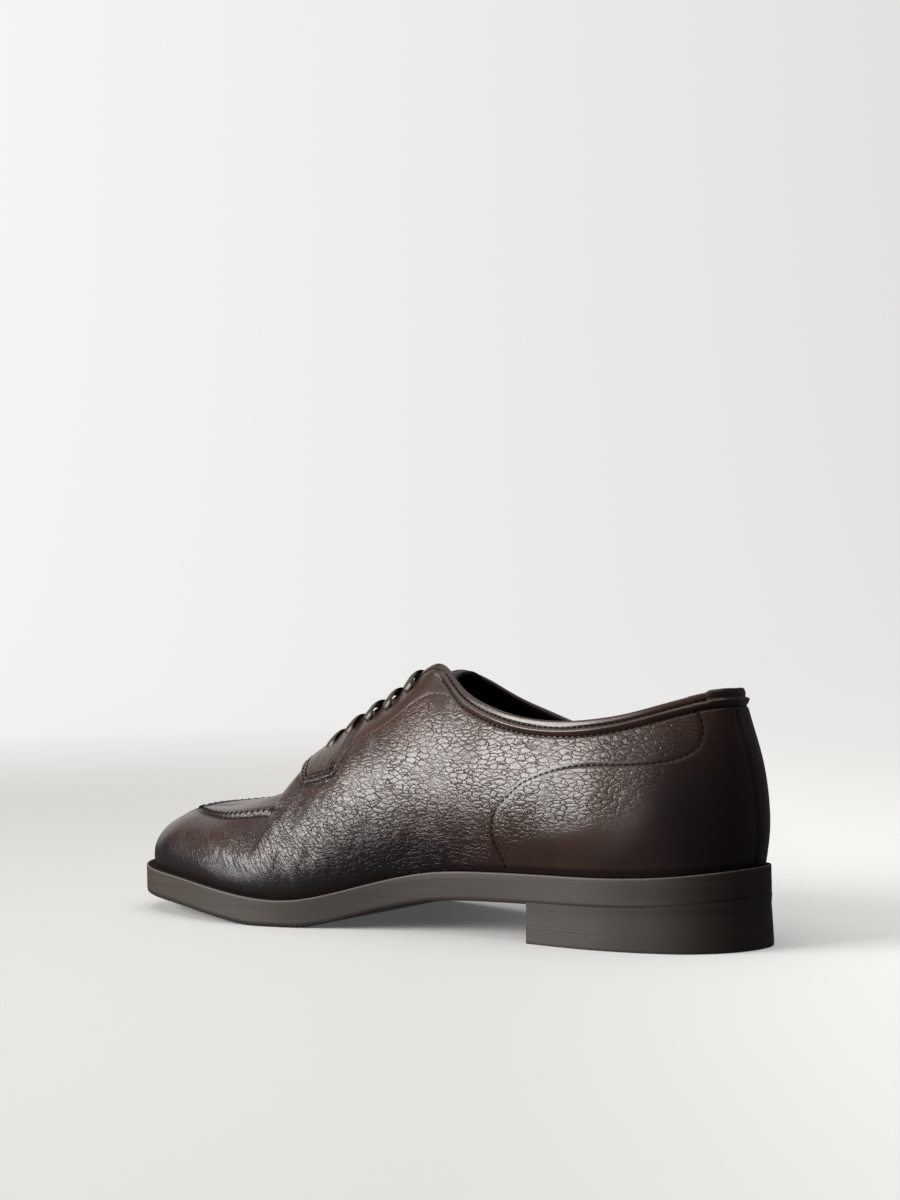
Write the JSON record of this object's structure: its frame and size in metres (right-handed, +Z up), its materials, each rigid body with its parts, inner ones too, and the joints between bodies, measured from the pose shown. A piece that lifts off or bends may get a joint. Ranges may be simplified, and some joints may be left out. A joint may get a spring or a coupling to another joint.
{
  "type": "split toe derby shoe",
  "caption": "Right split toe derby shoe with raised apron seam, straight laced open facings, low stitched collar, layered rubber sole and stacked heel.",
  "frame": {"origin": "on the floor plane under the middle of the bounding box", "axes": "+X towards the toe, +Y towards the medial side, +Z up"},
  "size_m": [0.304, 0.1052, 0.1064],
  "materials": {
    "upper_leather": "satin pebbled grain, burnished toe and heel",
    "lining": "matte black lining",
    "sole_edge": "matte dark grey brown edge",
    "heel": "matte dark grey brown heel",
    "lace": "waxed brown black lace"
  },
  "bodies": {
    "root": {"upper": "upper_leather", "tongue": "lining", "insole": "lining", "welt": "sole_edge", "midsole": "sole_edge", "outsole": "sole_edge", "heel_block": "heel", "top_piece": "heel", "lace_bar_1": "lace", "lace_bar_2": "lace", "lace_bar_3": "lace", "lace_bar_4": "lace", "lace_bar_5": "lace"}
  },
  "joints": []
}
